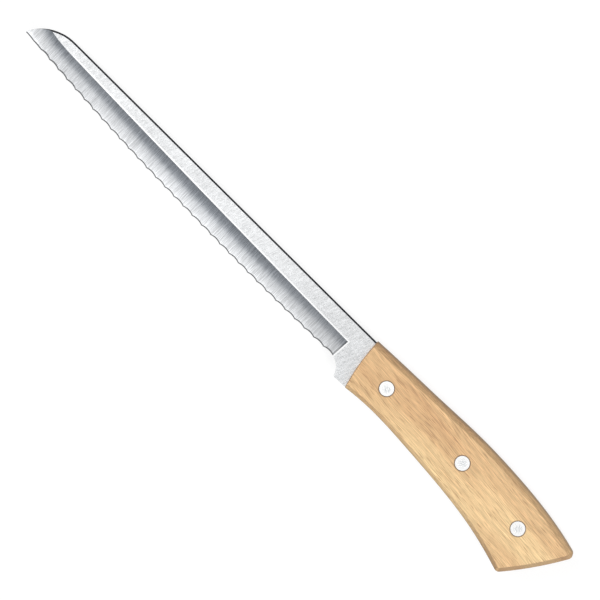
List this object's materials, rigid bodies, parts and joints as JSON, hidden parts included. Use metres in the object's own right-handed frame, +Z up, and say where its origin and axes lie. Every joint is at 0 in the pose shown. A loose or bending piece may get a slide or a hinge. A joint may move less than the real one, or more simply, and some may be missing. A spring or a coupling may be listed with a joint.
{
  "type": "bread knife",
  "caption": "Bread knife: hollow-ground blade with a scalloped edge and a dropped heel, in a curved wooden handle held by flush two-part rivets.",
  "frame": {"origin": "middle of the footprint of the knife lying on its right side, on the plane of the right scale's flat face", "axes": "+X along the blade towards the tip, +Y the way the cutting edge faces, +Z up out of the knife's left side"},
  "size_m": [0.3202, 0.0352, 0.013],
  "materials": {
    "steel": "satin flats with fine lengthwise grain, hollows ground across the blade",
    "wood": "pale straight-grained hardwood, sanded and oiled, edges eased",
    "rivet": "ground flush with the wood, fine parallel scratches"
  },
  "bodies": {
    "root": {"blade": "steel", "left_scale": "wood", "right_scale": "wood", "rivet_front_female": "rivet", "rivet_front_male": "rivet", "rivet_middle_female": "rivet", "rivet_middle_male": "rivet", "rivet_rear_female": "rivet", "rivet_rear_male": "rivet"}
  },
  "joints": []
}
